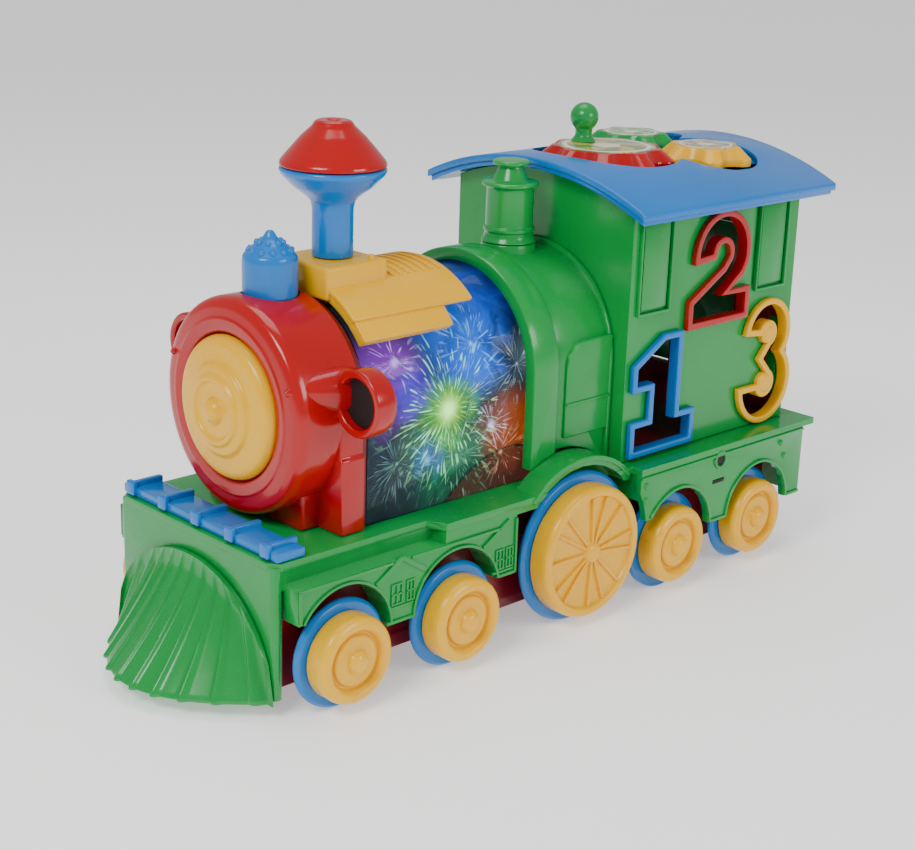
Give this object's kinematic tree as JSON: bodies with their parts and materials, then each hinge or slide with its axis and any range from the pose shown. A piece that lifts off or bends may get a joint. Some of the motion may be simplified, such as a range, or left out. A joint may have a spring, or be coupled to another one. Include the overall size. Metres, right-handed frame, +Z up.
{
  "type": "toy train locomotive",
  "caption": "Moulded plastic toy train engine with free-rolling wheels, a clear boiler window, a cab with posting holes and turning roof gears",
  "frame": {"origin": "on the ground under the middle of the engine's bounding box", "axes": "+X forwards to the cowcatcher, +Y to the engine's left, +Z up"},
  "size_m": [0.3442, 0.1372, 0.2134],
  "materials": {
    "green_plastic": "glossy moulded green plastic",
    "blue_plastic": "glossy moulded blue plastic",
    "red_plastic": "glossy moulded red plastic",
    "yellow_plastic": "glossy moulded yellow plastic",
    "dark_red_plastic": "moulded dark red plastic",
    "clear_plastic": "polished clear plastic",
    "light_screen": "dark film with bright light bursts",
    "steel": "plain bright steel",
    "battery_wrap": "dark cell wrapper",
    "black_plastic": "plain black plastic",
    "circuit_board": "green solder mask"
  },
  "bodies": {
    "engine": {"battery_1": "battery_wrap", "battery_2": "battery_wrap", "battery_3": "battery_wrap", "battery_door": "dark_red_plastic", "battery_door_screw": "steel", "boiler_rear": "green_plastic", "boiler_window": "clear_plastic", "buffer_step": "blue_plastic", "cab": "green_plastic", "chassis": "green_plastic", "chimney_cap": "red_plastic", "chimney_funnel": "blue_plastic", "circuit_board": "circuit_board", "cowcatcher": "green_plastic", "light_cradle": "black_plastic", "light_screen": "light_screen", "motor": "steel", "number_1_left": "blue_plastic", "number_1_right": "blue_plastic", "number_2_left": "red_plastic", "number_2_right": "red_plastic", "number_3_left": "yellow_plastic", "number_3_right": "yellow_plastic", "roof": "blue_plastic", "saddle": "yellow_plastic", "shape_bin": "dark_red_plastic", "smokebox": "red_plastic", "smokebox_door": "yellow_plastic", "speaker": "black_plastic", "steam_dome": "green_plastic", "undertray": "dark_red_plastic"},
    "wheelset_1": {"wheel_1_left": "yellow_plastic", "wheel_1_right": "yellow_plastic", "flanged_sleeve_1": "blue_plastic", "axle_1": "steel"},
    "wheelset_2": {"wheel_2_left": "yellow_plastic", "wheel_2_right": "yellow_plastic", "flanged_sleeve_2": "blue_plastic", "axle_2": "steel"},
    "wheelset_3": {"wheel_3_left": "yellow_plastic", "wheel_3_right": "yellow_plastic", "flanged_sleeve_3": "blue_plastic", "axle_3": "steel"},
    "wheelset_4": {"wheel_4_left": "yellow_plastic", "wheel_4_right": "yellow_plastic", "flanged_sleeve_4": "blue_plastic", "axle_4": "steel"},
    "wheelset_5": {"wheel_5_left": "yellow_plastic", "wheel_5_right": "yellow_plastic", "flanged_sleeve_5": "blue_plastic", "axle_5": "steel"},
    "crank_gear": {"gear_red": "red_plastic", "crank_knob": "green_plastic"},
    "yellow_gear": {"gear_yellow": "yellow_plastic"},
    "green_gear": {"gear_green": "green_plastic"},
    "light_drum": {"light_drum": "clear_plastic"},
    "dome_button": {"front_dome_button": "blue_plastic"},
    "rear_door": {"rear_door": "green_plastic"},
    "pinion": {"motor_pinion": "steel"},
    "power_switch": {"power_switch": "black_plastic"}
  },
  "joints": [
    {"name": "wheelset_1_spin", "type": "hinge", "parent": "engine", "child": "wheelset_1", "pos_m": [0.11192, 0, 0.022], "axis": [0, 1, 0], "continuous": true},
    {"name": "wheelset_2_spin", "type": "hinge", "parent": "engine", "child": "wheelset_2", "pos_m": [0.05391, 0, 0.022], "axis": [0, 1, 0], "continuous": true},
    {"name": "wheelset_3_spin", "type": "hinge", "parent": "engine", "child": "wheelset_3", "pos_m": [-0.01758, 0, 0.0331], "axis": [0, 1, 0], "continuous": true},
    {"name": "wheelset_4_spin", "type": "hinge", "parent": "engine", "child": "wheelset_4", "pos_m": [-0.07508, 0, 0.022], "axis": [0, 1, 0], "continuous": true},
    {"name": "wheelset_5_spin", "type": "hinge", "parent": "engine", "child": "wheelset_5", "pos_m": [-0.13159, 0, 0.022], "axis": [0, 1, 0], "continuous": true},
    {"name": "crank_gear_spin", "type": "hinge", "parent": "engine", "child": "crank_gear", "pos_m": [-0.08658, 0, 0.1835], "axis": [0, 0, 1], "continuous": true},
    {"name": "yellow_gear_spin", "type": "hinge", "parent": "engine", "child": "yellow_gear", "pos_m": [-0.12857, 0.02232, 0.1835], "axis": [0, 0, 1], "continuous": true},
    {"name": "green_gear_spin", "type": "hinge", "parent": "engine", "child": "green_gear", "pos_m": [-0.12857, -0.02232, 0.1835], "axis": [0, 0, 1], "continuous": true},
    {"name": "light_drum_spin", "type": "hinge", "parent": "engine", "child": "light_drum", "pos_m": [0.03841, 0, 0.1075], "axis": [1, 0, 0], "continuous": true},
    {"name": "dome_button_press", "type": "slide", "parent": "engine", "child": "dome_button", "axis": [0, 0, -1], "range_m": [0, 0.003], "stiffness_N_per_m": 300, "springref_m": -0.002},
    {"name": "rear_door_swing", "type": "hinge", "parent": "engine", "child": "rear_door", "pos_m": [-0.16232, 0.0262, 0.112], "axis": [0, 0, 1], "range_deg": [-100, 0]},
    {"name": "pinion_spin", "type": "hinge", "parent": "engine", "child": "pinion", "pos_m": [-0.07508, 0.0145, 0.0346], "axis": [0, 1, 0], "continuous": true},
    {"name": "power_switch_slide", "type": "slide", "parent": "engine", "child": "power_switch", "axis": [1, 0, 0], "range_m": [0, 0.004]}
  ],
  "couplings": [
    {"joint": "yellow_gear_spin", "follows": "crank_gear_spin", "ratio": -1.5},
    {"joint": "green_gear_spin", "follows": "crank_gear_spin", "ratio": -1.5},
    {"joint": "pinion_spin", "follows": "wheelset_4_spin", "ratio": -2.5}
  ]
}
